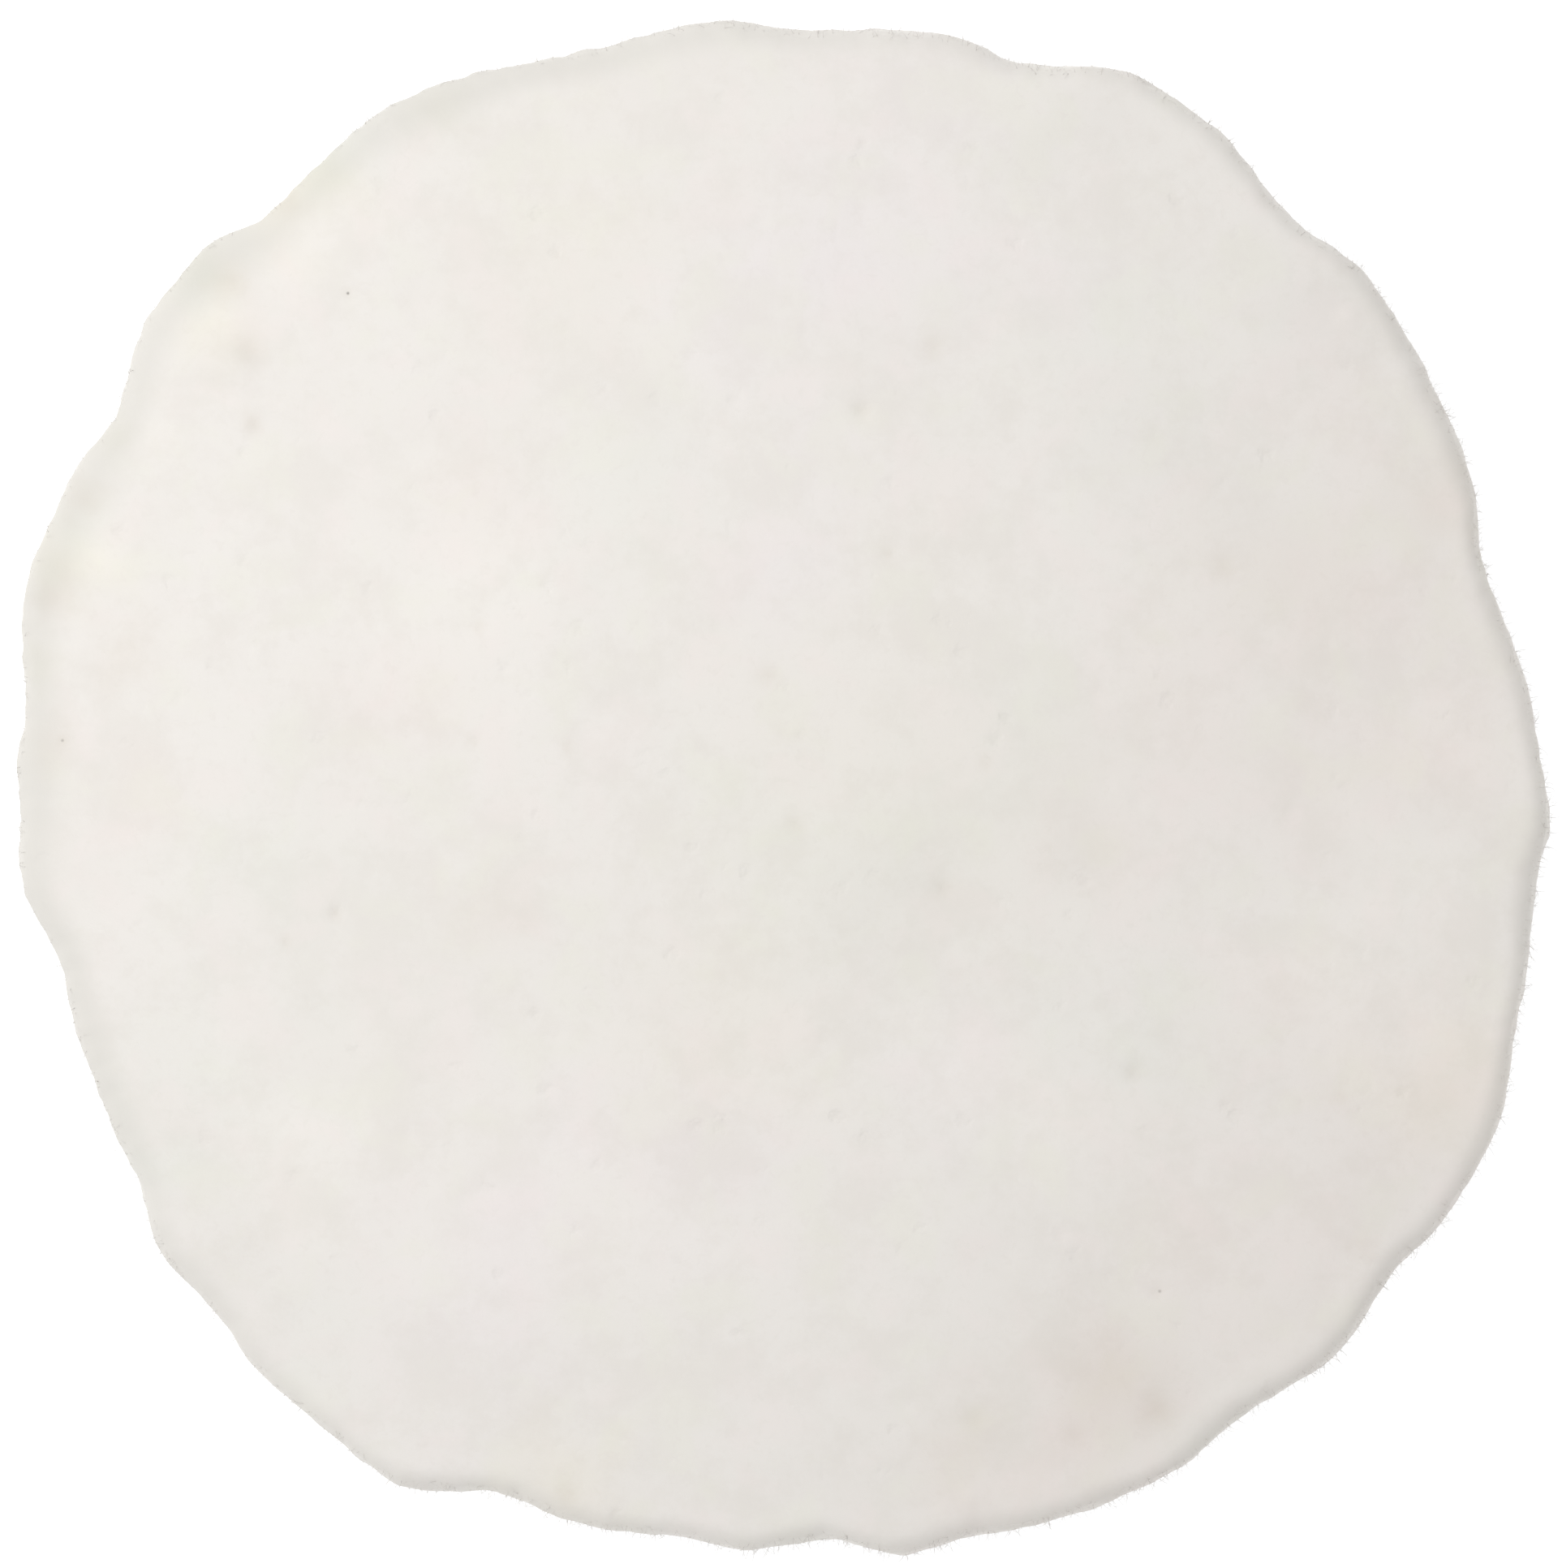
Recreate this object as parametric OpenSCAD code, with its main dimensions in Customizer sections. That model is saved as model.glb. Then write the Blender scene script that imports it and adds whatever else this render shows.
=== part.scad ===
// Lapidary polishing wheel of the disc-head kind. A pressed wool felt face is held by hook and loop on a
// sponge cushion. The cushion is taped to an aluminium plate, and a flanged hub carries the plate on an
// arbor.
// Millimetres. The origin is the centre of the arbor bore's mouth, and the felt faces +Z.

/* [Felt face] */
// Radius of the felt, halfway between the crests and the notches of its cut edge
felt_r = 76; // [64:0.5:92]
// Thickness of the felt
felt_t = 10; // [6:0.5:16]
// Thickness of the melted web that bonds the felt to its loop cloth
web_t = 0.2; // [0.1:0.1:0.6]

/* [Hook and loop] */
// Thickness of the loop cloth, with its loops
loop_t = 1.4; // [1:0.1:2.5]
// How far the loop cloth stays inside the felt's edge
loop_inset = 1; // [0.5:0.1:2]
// Thickness of the hook sheet, with its hooks
hook_t = 1.4; // [1:0.1:2.5]

/* [Cushion] */
// Thickness of the sponge cushion
cushion_t = 8; // [4:0.5:14]
// How far the cushion stays inside the felt's mean edge
cushion_inset = 5; // [4.5:0.1:12]
// Thickness of the double-sided tape under the cushion and under the hook sheet
tape_t = 0.3; // [0.2:0.1:1]
// How far the tape under the cushion stays inside the plate's rim
tape_inset = 1; // [0.6:0.1:3]

/* [Backing plate] */
// Thickness of the plate where the hub is screwed to it
plate_t = 8; // [6.5:0.1:14]
// Thickness of the plate at its rim
rim_t = 4.5; // [3:0.1:6]
// How far the plate's rim stays inside the felt's mean edge
plate_inset = 6; // [4.5:0.1:14]
// How far the thick land reaches past the hub's flange
land_margin = 4; // [1:0.5:8]
// Radial width of the cone between the land and the thin rim
cone_w = 10; // [4:0.5:16]
// Metal left between the tips of the tapped holes and the plate's face
plate_skin = 1.5; // [0.6:0.1:3]

/* [Hub] */
// Diameter of the bore, for a 5/8 inch arbor
bore_d = 15.9; // [9.6:0.01:20]
// Thickness of the boss around the bore
boss_wall = 11; // [9.5:0.1:16]
// Length of the boss, from its end face to the flange
boss_h = 22; // [15:0.5:40]
// Width of the flange around the boss
flange_w = 13; // [10.5:0.1:18]
// Thickness of the flange
flange_t = 5; // [3.5:0.1:8]
// Wall of the centring spigot around the bore
spigot_wall = 9; // [4:0.1:10]
// Height of the centring spigot
spigot_h = 2; // [1:0.1:3]

/* [Hub screws] */
// Number of cap screws through the flange
screw_count = 4; // [3:1:6]
// Thread diameter of the cap screws
screw_d = 5; // [4:0.5:6]
// Diameter of the cap screws' heads
head_d = 8.5; // [7:0.1:9.5]
// Height of the cap screws' heads
head_h = 5; // [4:0.5:6]
// Width across the flats of the cap screws' sockets
head_hex = 4; // [3:0.5:5]
// Depth of the cap screws' sockets
head_hex_h = 2.5; // [1.5:0.1:3]
// Where the first cap screw stands around the hub, in degrees from the first set screw
first_screw_a = 45; // [20:5:70]
// Thickness of the spring washers
washer_t = 1.2; // [0.8:0.1:1.6]
// Width of the spring washers' ring
washer_w = 1.8; // [1.2:0.1:2]

/* [Set screws] */
// Thread diameter of the two set screws
set_screw_d = 6; // [5:0.5:8]
// Length of a set screw with its soft tip
set_screw_l = 8; // [6:0.5:9]
// Width across the flats of the set screws' sockets
set_screw_hex = 3; // [2.5:0.5:4]
// Depth of the set screws' sockets
set_screw_hex_h = 3.4; // [2:0.1:3.6]
// Height of the set screws above the boss's end face
set_screw_z = 9; // [5:0.5:12]
// How far the set screws are backed off from the bore's wall
back_off = 1.5; // [0.5:0.1:2]
// Thickness of a soft tip's head
tip_t = 1.2; // [0.8:0.1:2]
// Diameter of a soft tip's head
tip_d = 4; // [3:0.1:4.4]

/* [Clearances] */
// Radial gap between a screw's crest and its tapped hole
thread_gap = 0.05; // [0.02:0.01:0.1]
// Radial gap between a cap screw and its hole in the flange or its washer
screw_gap = 0.25; // [0.1:0.05:0.5]
// Gap around and above the spigot in its recess
spigot_gap = 0.05; // [0.02:0.01:0.1]
// Gap between a screw's end and the bottom of its tapped hole
end_gap = 0.7; // [0.3:0.1:1.5]
// Gap around the arbor's end, and past it, in the plate
arbor_gap = 1; // [0.5:0.1:2]
// Gap around a soft tip's stem
stem_gap = 0.05; // [0.02:0.01:0.1]

/* [Hidden] */
$fn = 96;
// Sides of a key socket
hex_sides = 6;
// Straight steps along the felt's edge, from one mark to the next
edge_steps = 5;
// Bevels: the turned parts' outer corners, their mouths and the screws' heads, and the ends of threads
corner_bevel = 1;
mouth_bevel = 0.5;
thread_bevel = 0.6;
// Stem of a soft tip, pressed into the front of its set screw
stem_d = 2.6;
stem_h = 1.5;
// Slit of a spring washer, and its slant
slit_w = 0.9;
slit_slant = 25;
// The cuts run this far past the faces that they go through
past = 1;

// The felt was cut round by hand and has worn since, so its edge stands in and out of its mean radius.
// Each mark is a crest, a notch or a shoulder: [degrees, mm out of the mean radius, corner], where a corner
// of 0 is a smooth turn and 1 is a sharp one.
edge_marks = [
    [6, -1.8, 0.5], [18, -3.6, 0], [24, -1.6, 0.5], [30, -0.9, 0.5], [42, 0.5, 0], [48, -0.8, 0],
    [57, 1.8, 0.5], [64, 2.3, 0], [72, -0.9, 0], [77, 0, 0.5], [89, -1.3, 0], [95, -0.1, 0],
    [104, -0.9, 0], [120, 1.6, 0], [132, 0, 0], [137, 2.1, 0.5], [144, 1.9, 0.5], [151, -0.7, 0.5],
    [156, 0.6, 0.5], [165, 1.3, 0], [175, -0.9, 0], [178, -0.4, 0], [182, -0.7, 0], [187, -0.3, 0],
    [194, -2.6, 0], [203, -2, 0], [211, -1.6, 0.5], [217, 0.7, 0], [222, 0.3, 0], [228, 1.5, 0.5],
    [234, 1.8, 0.5], [241, 2.7, 0.5], [249, -1.1, 0], [254, -0.6, 0], [263, -1.4, 0], [267, -0.6, 0],
    [273, -1.8, 0], [279, 0.6, 0], [284, 0.1, 0], [289, 1, 0.5], [300, 1.7, 0], [306, 0.7, 0],
    [314, 2, 0], [322, 0.8, 0], [326, 1.8, 0.5], [333, 2.1, 0], [343, -0.2, 0.5], [353, -1.2, 0],
    [357, -0.4, 0.5]
];

bore_r = bore_d / 2;
boss_r = bore_r + boss_wall;
flange_r = boss_r + flange_w;
spigot_r = bore_r + spigot_wall;
screw_circle_r = boss_r + flange_w / 2;
screw_angles = [for (i = [0 : screw_count - 1]) first_screw_a + i * 360 / screw_count];
washer_r = screw_d / 2 + screw_gap + washer_w;
set_screw_angles = [0, 90];

land_r = flange_r + land_margin;
plate_r = felt_r - plate_inset;
cushion_r = felt_r - cushion_inset;
cushion_tape_r = plate_r - tape_inset;
thread_l = plate_t - plate_skin - end_gap;
screw_l = washer_t + flange_t + thread_l;

flange_z = boss_h;
plate_z = flange_z + flange_t;
spigot_top_z = plate_z + spigot_h;
cushion_tape_z = plate_z + plate_t;
cushion_z = cushion_tape_z + tape_t;
hook_tape_z = cushion_z + cushion_t;
hook_z = hook_tape_z + tape_t;
loop_z = hook_z + hook_t;
web_z = loop_z + loop_t;
felt_z = web_z + web_t;

screw_names = [for (i = [1 : screw_count]) str("hub_screw_", i)];
washer_names = [for (i = [1 : screw_count]) str("spring_washer_", i)];
set_screw_names = ["set_screw_1", "set_screw_2"];
tip_names = ["set_screw_tip_1", "set_screw_tip_2"];

// A share t of the way from one mark to the next, eased at smooth marks and straight at sharp ones
function between(t, corner_a, corner_b) =
    t * t * (3 - 2 * t) + corner_a * t * pow(1 - t, 2) - corner_b * t * t * (1 - t);

// The felt's edge, moved in by inset
function felt_edge(inset) = [
    for (i = [0 : len(edge_marks) - 1])
        let (
            mark = edge_marks[i],
            next = edge_marks[(i + 1) % len(edge_marks)],
            turn = (next[0] - mark[0] + 360) % 360
        )
        for (k = [0 : edge_steps - 1])
            let (
                t = k / edge_steps,
                a = mark[0] + turn * t,
                r = felt_r - inset + mark[1] + (next[1] - mark[1]) * between(t, mark[2], next[2])
            )
            [r * cos(a), r * sin(a)]
];

module at_screw(i) {
    rotate([0, 0, screw_angles[i]]) translate([screw_circle_r, 0, 0]) children();
}

// Turns a child that points up into one that points out of the boss, with its foot at the radius given
module at_set_screw(i, from_r) {
    rotate([0, 0, set_screw_angles[i]])
        translate([from_r, 0, set_screw_z])
            rotate([0, 90, 0])
                children();
}

module disc(r, t, z) {
    translate([0, 0, z]) cylinder(r = r, h = t);
}

module felt_disc() {
    color("ivory") translate([0, 0, felt_z]) linear_extrude(felt_t) polygon(felt_edge(0));
}

module felt_web() {
    color("lightgrey") translate([0, 0, web_z]) linear_extrude(web_t) polygon(felt_edge(loop_inset));
}

module loop_cloth() {
    color("whitesmoke") translate([0, 0, loop_z]) linear_extrude(loop_t) polygon(felt_edge(loop_inset));
}

module hook_sheet() {
    color("black") disc(cushion_r, hook_t, hook_z);
}

module hook_tape() {
    color("khaki") disc(cushion_r, tape_t, hook_tape_z);
}

module cushion() {
    color("dimgrey") disc(cushion_r, cushion_t, cushion_z);
}

module cushion_tape() {
    color("khaki") disc(cushion_tape_r, tape_t, cushion_tape_z);
}

// A turned plate, thick over the hub and thin at the rim, with a recess that centres the hub's spigot
module backing_plate() {
    rim_z = plate_t - rim_t;
    recess_h = spigot_h + spigot_gap;
    color("silver") translate([0, 0, plate_z]) difference() {
        rotate_extrude() polygon([
            [0, recess_h + arbor_gap],
            [bore_r + arbor_gap, recess_h + arbor_gap],
            [bore_r + arbor_gap, recess_h],
            [spigot_r + spigot_gap, recess_h],
            [spigot_r + spigot_gap, 0],
            [land_r - corner_bevel, 0],
            [land_r, corner_bevel],
            [land_r + cone_w, rim_z],
            [plate_r - corner_bevel, rim_z],
            [plate_r, rim_z + corner_bevel],
            [plate_r, plate_t - mouth_bevel],
            [plate_r - mouth_bevel, plate_t],
            [0, plate_t]
        ]);
        for (i = [0 : screw_count - 1])
            at_screw(i)
                translate([0, 0, -past])
                    cylinder(r = screw_d / 2 + thread_gap, h = thread_l + end_gap + past);
    }
}

// A turned hub: boss, flange and spigot around the arbor's bore
module hub() {
    color("lightslategrey") difference() {
        rotate_extrude() polygon([
            [bore_r + mouth_bevel, 0],
            [boss_r - corner_bevel, 0],
            [boss_r, corner_bevel],
            [boss_r, flange_z],
            [flange_r - mouth_bevel, flange_z],
            [flange_r, flange_z + mouth_bevel],
            [flange_r, plate_z],
            [spigot_r, plate_z],
            [spigot_r, spigot_top_z - mouth_bevel],
            [spigot_r - mouth_bevel, spigot_top_z],
            [bore_r, spigot_top_z],
            [bore_r, mouth_bevel]
        ]);
        for (i = [0 : screw_count - 1])
            at_screw(i)
                translate([0, 0, flange_z - past])
                    cylinder(r = screw_d / 2 + screw_gap, h = flange_t + 2 * past);
        for (i = [0 : len(set_screw_angles) - 1])
            at_set_screw(i, bore_r - past)
                cylinder(r = set_screw_d / 2 + thread_gap, h = boss_wall + 2 * past);
    }
}

// A socket cap screw, head down, with the underside of its head at z = 0
module cap_screw() {
    head_r = head_d / 2;
    difference() {
        rotate_extrude() polygon([
            [0, -head_h],
            [head_r - mouth_bevel, -head_h],
            [head_r, mouth_bevel - head_h],
            [head_r, 0],
            [screw_d / 2, 0],
            [screw_d / 2, screw_l - thread_bevel],
            [screw_d / 2 - thread_bevel, screw_l],
            [0, screw_l]
        ]);
        translate([0, 0, -head_h - past])
            cylinder(d = head_hex / cos(180 / hex_sides), h = head_hex_h + past, $fn = hex_sides);
    }
}

module hub_screw(i) {
    color("dimgray") translate([0, 0, flange_z - washer_t]) at_screw(i) cap_screw();
}

module spring_washer(i) {
    color("gainsboro") translate([0, 0, flange_z - washer_t]) at_screw(i) difference() {
        cylinder(r = washer_r, h = washer_t);
        translate([0, 0, -past]) cylinder(r = screw_d / 2 + screw_gap, h = washer_t + 2 * past);
        translate([washer_r / 2, 0, washer_t / 2])
            rotate([slit_slant, 0, 0])
                cube([washer_r + past, slit_w, washer_t + 2 * past], center = true);
    }
}

// The threaded body of a set screw, with its key socket outwards
module set_screw(i) {
    body_l = set_screw_l - tip_t;
    r = set_screw_d / 2;
    color("dimgray") at_set_screw(i, bore_r + back_off + tip_t) difference() {
        rotate_extrude() polygon([
            [0, stem_h + stem_gap],
            [stem_d / 2 + stem_gap, stem_h + stem_gap],
            [stem_d / 2 + stem_gap, 0],
            [r - thread_bevel, 0],
            [r, thread_bevel],
            [r, body_l - thread_bevel],
            [r - thread_bevel, body_l],
            [0, body_l]
        ]);
        translate([0, 0, body_l - set_screw_hex_h])
            cylinder(d = set_screw_hex / cos(180 / hex_sides), h = set_screw_hex_h + past, $fn = hex_sides);
    }
}

module set_screw_tip(i) {
    color("goldenrod") at_set_screw(i, bore_r + back_off) rotate_extrude() polygon([
        [0, 0],
        [tip_d / 2 - mouth_bevel, 0],
        [tip_d / 2, mouth_bevel],
        [tip_d / 2, tip_t],
        [stem_d / 2, tip_t],
        [stem_d / 2, tip_t + stem_h],
        [0, tip_t + stem_h]
    ]);
}

felt_disc();
felt_web();
loop_cloth();
hook_sheet();
hook_tape();
cushion();
cushion_tape();
backing_plate();
hub();
for (i = [0 : screw_count - 1]) {
    hub_screw(i);
    spring_washer(i);
}
for (i = [0 : len(set_screw_names) - 1]) {
    set_screw(i);
    set_screw_tip(i);
}
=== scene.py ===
import math
import random

import bmesh
import bpy
import numpy as np
from mathutils import Matrix, Vector


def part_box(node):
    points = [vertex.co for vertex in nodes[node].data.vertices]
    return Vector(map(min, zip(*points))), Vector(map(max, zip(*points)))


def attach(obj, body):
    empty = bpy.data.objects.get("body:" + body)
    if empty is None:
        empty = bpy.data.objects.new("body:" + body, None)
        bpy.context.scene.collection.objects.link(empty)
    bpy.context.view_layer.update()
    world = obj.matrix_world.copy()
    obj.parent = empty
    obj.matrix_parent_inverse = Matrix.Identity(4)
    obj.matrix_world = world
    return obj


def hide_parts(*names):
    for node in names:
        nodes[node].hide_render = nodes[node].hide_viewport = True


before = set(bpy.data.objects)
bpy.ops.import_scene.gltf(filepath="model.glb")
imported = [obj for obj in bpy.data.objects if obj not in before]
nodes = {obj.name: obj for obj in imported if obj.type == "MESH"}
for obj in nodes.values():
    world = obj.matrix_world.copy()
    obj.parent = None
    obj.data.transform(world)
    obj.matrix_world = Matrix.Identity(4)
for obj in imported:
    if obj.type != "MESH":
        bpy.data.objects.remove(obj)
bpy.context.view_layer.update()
mm = 0.001
hair = 0.001 * mm  # this close to a height, a point is on it
levelGap = 0.01 * mm  # a looser one, for what lies in a face
weldGap = 0.002 * mm  # points closer than this become one
smoothAngle = 0.6  # an edge turned further than this, in radians, stays sharp
print("frame loaded:", len(nodes), "parts")


def deselectAll():
    if bpy.context.mode != "OBJECT":
        bpy.ops.object.mode_set(mode="OBJECT")
    bpy.ops.object.select_all(action="DESELECT")


def makeActive(piece):
    deselectAll()
    piece.select_set(True)
    bpy.context.view_layer.objects.active = piece


def edit(piece):
    makeActive(piece)
    bpy.ops.object.mode_set(mode="EDIT")
    bpy.ops.mesh.select_all(action="DESELECT")


def middle(part):
    if isinstance(part, bmesh.types.BMEdge):
        return (part.verts[0].co + part.verts[1].co) / 2
    return part.co


def pick(piece, kind, test):  # in edit mode, takes what passes the test on its middle
    bpy.ops.mesh.select_mode(type=kind)
    bpy.ops.mesh.select_all(action="DESELECT")
    shape = bmesh.from_edit_mesh(piece.data)
    for part in {"VERT": shape.verts, "EDGE": shape.edges}[kind]:
        if test(middle(part)):
            part.select_set(True)
    bmesh.update_edit_mesh(piece.data)


def applyModifier(piece, kind, **settings):
    makeActive(piece)
    modifier = piece.modifiers.new(kind.title(), kind)
    for name, value in settings.items():
        setattr(modifier, name, value)
    bpy.ops.object.modifier_apply(modifier=modifier.name)


def placeInMesh(piece):
    makeActive(piece)
    bpy.ops.object.transform_apply(location=True, rotation=True, scale=True)


def cleanNormals(piece):
    edit(piece)
    bpy.ops.mesh.select_all(action="SELECT")
    bpy.ops.mesh.remove_doubles(threshold=weldGap)
    bpy.ops.mesh.normals_make_consistent(inside=False)
    bpy.ops.object.mode_set(mode="OBJECT")


def readPoints(piece):
    points = np.empty(len(piece.data.vertices) * 3)
    piece.data.vertices.foreach_get("co", points)
    return points.reshape(-1, 3)


def writePoints(piece, points):
    piece.data.vertices.foreach_set("co", np.ravel(points))
    piece.data.update()


def finishPiece(piece, name, body, slot, material, *replaced):
    placeInMesh(piece)
    piece.name = name
    piece.data.name = name
    piece.data.materials.clear()
    piece.data.materials.append(material)
    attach(piece, body)
    if replaced:
        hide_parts(*replaced)
    print("made", name, "with", len(piece.data.polygons), "faces")
    return piece


def ease(value, low, high):  # from 0 at low to 1 at high, with soft ends
    share = np.clip((value - low) / (high - low), 0, 1)
    return share * share * (3 - 2 * share)


def ripples(x, y, width, seed, count=10):  # soft random hills about this wide, about 1 high
    slowest, fastest = 0.6, 1.4
    draw = random.Random(seed)
    total = 0 * x
    for _ in range(count):
        heading = draw.uniform(0, 2 * math.pi)
        pace = 2 * math.pi / width * draw.uniform(slowest, fastest)
        across = x * math.cos(heading) + y * math.sin(heading)
        total = total + np.sin(across * pace + draw.uniform(0, 2 * math.pi))
    return total / math.sqrt(count / 2)


class Wire:  # a node's output, which adds Math nodes as it is worked with
    def __init__(self, graph, socket):
        self.graph = graph
        self.socket = socket

    def __add__(self, other):
        return self.graph.maths("ADD", self, other)

    __radd__ = __add__

    def __sub__(self, other):
        return self.graph.maths("SUBTRACT", self, other)

    def __rsub__(self, other):
        return self.graph.maths("SUBTRACT", other, self)

    def __mul__(self, other):
        return self.graph.maths("MULTIPLY", self, other)

    __rmul__ = __mul__

    def __pow__(self, other):
        return self.graph.maths("POWER", self, other)

    def sqrt(self):
        return self.graph.maths("SQRT", self)

    def eased(self, low, high):  # 0 at low, 1 at high
        settings = {"interpolation_type": "SMOOTHSTEP"}
        return self.graph.add(
            "ShaderNodeMapRange", settings, {"Value": self, "From Min": low, "From Max": high}
        )


class Graph:  # the nodes of a material, or of the world
    def __init__(self, owner, shader="Principled BSDF", place="Object", **fixed):
        owner.use_nodes = True
        self.owner = owner
        self.tree = owner.node_tree
        self.shader = self.tree.nodes[shader]
        for socket, value in fixed.items():
            self.shader.inputs[socket].default_value = value
        self.place = self.add("ShaderNodeTexCoord", {}, {}, place)

    def add(self, kind, settings, inputs, output=0):
        node = self.tree.nodes.new(kind)
        for name, value in settings.items():
            setattr(node, name, value)
        for name, value in inputs.items():
            if isinstance(value, Wire):
                self.tree.links.new(value.socket, node.inputs[name])
            else:
                node.inputs[name].default_value = value
        return Wire(self, node.outputs[output])

    def maths(self, operation, *values):
        return self.add("ShaderNodeMath", {"operation": operation}, dict(enumerate(values)))

    def vectorMaths(self, operation, *values):
        return self.add("ShaderNodeVectorMath", {"operation": operation}, dict(enumerate(values)))

    def attribute(self, name, output):
        return self.add("ShaderNodeAttribute", {"attribute_name": name}, {}, output)

    def axes(self):
        split = self.add("ShaderNodeSeparateXYZ", {}, {0: self.place})
        return [Wire(self, split.socket.node.outputs[i]) for i in range(3)]

    def stretched(self, scale):
        return self.add("ShaderNodeMapping", {}, {"Vector": self.place, "Scale": scale})

    def noise(self, scale, detail=3.0, roughness=0.55, distortion=0.0, place=None, output=0):
        inputs = {"Vector": place or self.place, "Scale": scale, "Detail": detail}
        inputs.update({"Roughness": roughness, "Distortion": distortion})
        return self.add("ShaderNodeTexNoise", {}, inputs, output)

    def bands(self, along, scale, detail):  # noise in one direction only
        inputs = {"W": along, "Scale": scale, "Detail": detail}
        return self.add("ShaderNodeTexNoise", {"noise_dimensions": "1D"}, inputs)

    def cells(self, scale, randomness=1.0, place=None):
        inputs = {"Vector": place or self.place, "Scale": scale, "Randomness": randomness}
        return self.add("ShaderNodeTexVoronoi", {}, inputs)

    def mixed(self, share, first, second):  # a Mix node's colours are its sockets 6, 7 and out 2
        return self.add("ShaderNodeMix", {"data_type": "RGBA"}, {0: share, 6: first, 7: second}, 2)

    def bump(self, height, distance):
        return self.add("ShaderNodeBump", {}, {"Height": height, "Distance": distance, "Strength": 1.0})

    def give(self, **links):
        names = {
            "colour": "Base Color",
            "roughness": "Roughness",
            "normal": "Normal",
            "strength": "Strength",
        }
        for name, wire in links.items():
            self.tree.links.new(wire.socket, self.shader.inputs[names[name]])
        return self.owner


def newMaterial(name, **fixed):
    return Graph(bpy.data.materials.new(name), **fixed)


def darkened(colour, share):
    return tuple(share * channel for channel in colour[:3]) + (1,)


looseLook = {
    "grain": (3.0, 0.6),  # the noise's detail and roughness
    "dark": 0.78,  # the darkest grain, as a share of the colour
    "grainFade": (0.35, 0.7),
    "roughSpread": 0.16,
}


def looseMaterial(name, colour, scale, height, roughness, **fixed):  # a plain, slightly uneven finish
    look = looseLook
    graph = newMaterial(name, **fixed)
    grain = graph.noise(scale, *look["grain"])
    tint = graph.mixed(grain.eased(*look["grainFade"]), darkened(colour, look["dark"]), colour)
    rough = roughness - look["roughSpread"] / 2 + look["roughSpread"] * grain
    return graph.give(colour=tint, roughness=rough, normal=graph.bump(grain, height * mm))


feltLook = {
    "fixed": {"Specular IOR Level": 0.3, "Sheen Weight": 0.2, "Sheen Roughness": 0.45},
    "wool": (0.805, 0.775, 0.738, 1),
    "oldWool": (0.775, 0.742, 0.70, 1),
    "edgeShade": (0.700, 0.678, 0.636, 1),  # painted shade for the rolled edge and the cut side
    "blush": (0.820, 0.765, 0.735, 1),
    "lanolin": (0.792, 0.778, 0.705, 1),
    # painted shade for the pits and between the fibres of the cut side
    "shadedFibre": (0.66, 0.625, 0.575, 1),
    "noises": {  # scale, detail, roughness, distortion
        "clouds": (1 / (22 * mm), 3.0, 0.55, 0.0),
        "patches": (1 / (9 * mm), 5.0, 0.72, 0.0),
        "blushes": (150, 2.0, 0.5, 0.3),
        "flecks": (900, 3.0, 0.6, 0.6),
        "pitFields": (170, 1.0, 0.55, 0.0),
        "nap": (2600, 4.0, 0.7, 1.2),
        "tufts": (520, 3.0, 0.6, 0.8),
    },
    "washes": [  # noise, the values over which it comes in, how much of it, colour
        ("clouds", (0.45, 0.8), 0.5, "oldWool"),
        ("patches", (0.42, 0.64), 0.95, "oldWool"),
        ("blushes", (0.52, 0.7), 0.45, "blush"),
        ("blushes", (0.48, 0.3), 0.45, "lanolin"),
        ("flecks", (0.54, 0.70), 0.5, "oldWool"),
    ],
    "pitSpacing": 3.7,
    "pitSize": (0.02, 0.30),  # a pit's floor and rim, as shares of their spacing
    "pitWarp": (900, 2.0, 0.5),
    "pitWander": 1.6,
    "pitFieldFade": (0.49, 0.68),
    "pitShade": 0.10,
    "pitHeight": 2.6,
    "side": (3.6, 1.6),  # below the face, where the cut side is all there and where it ends
    "fibres": (1, 4.0, 0.65, 0.4),
    "fibreScale": (420, 420, 1900),
    "fibreFade": (0.35, 0.75),
    "fibreShade": 0.8,
    "fibreHeight": 3,
    "speck": (0.10, 0.09, 0.08, 1),
    "specks": [  # x, y, radius, strength
        (-42.9, 48.6, 0.12, 0.7), (-71.0, 4.6, 0.12, 0.4), (37.0, -49.6, 0.14, 0.35),
    ],
    "speckEdge": 0.12,
    "speckDepth": (4, 3),
    "napHeight": 0.5,
    "bump": 0.03,
    "roughness": (0.74, 0.16),  # least, and what the tufts add
}


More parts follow.
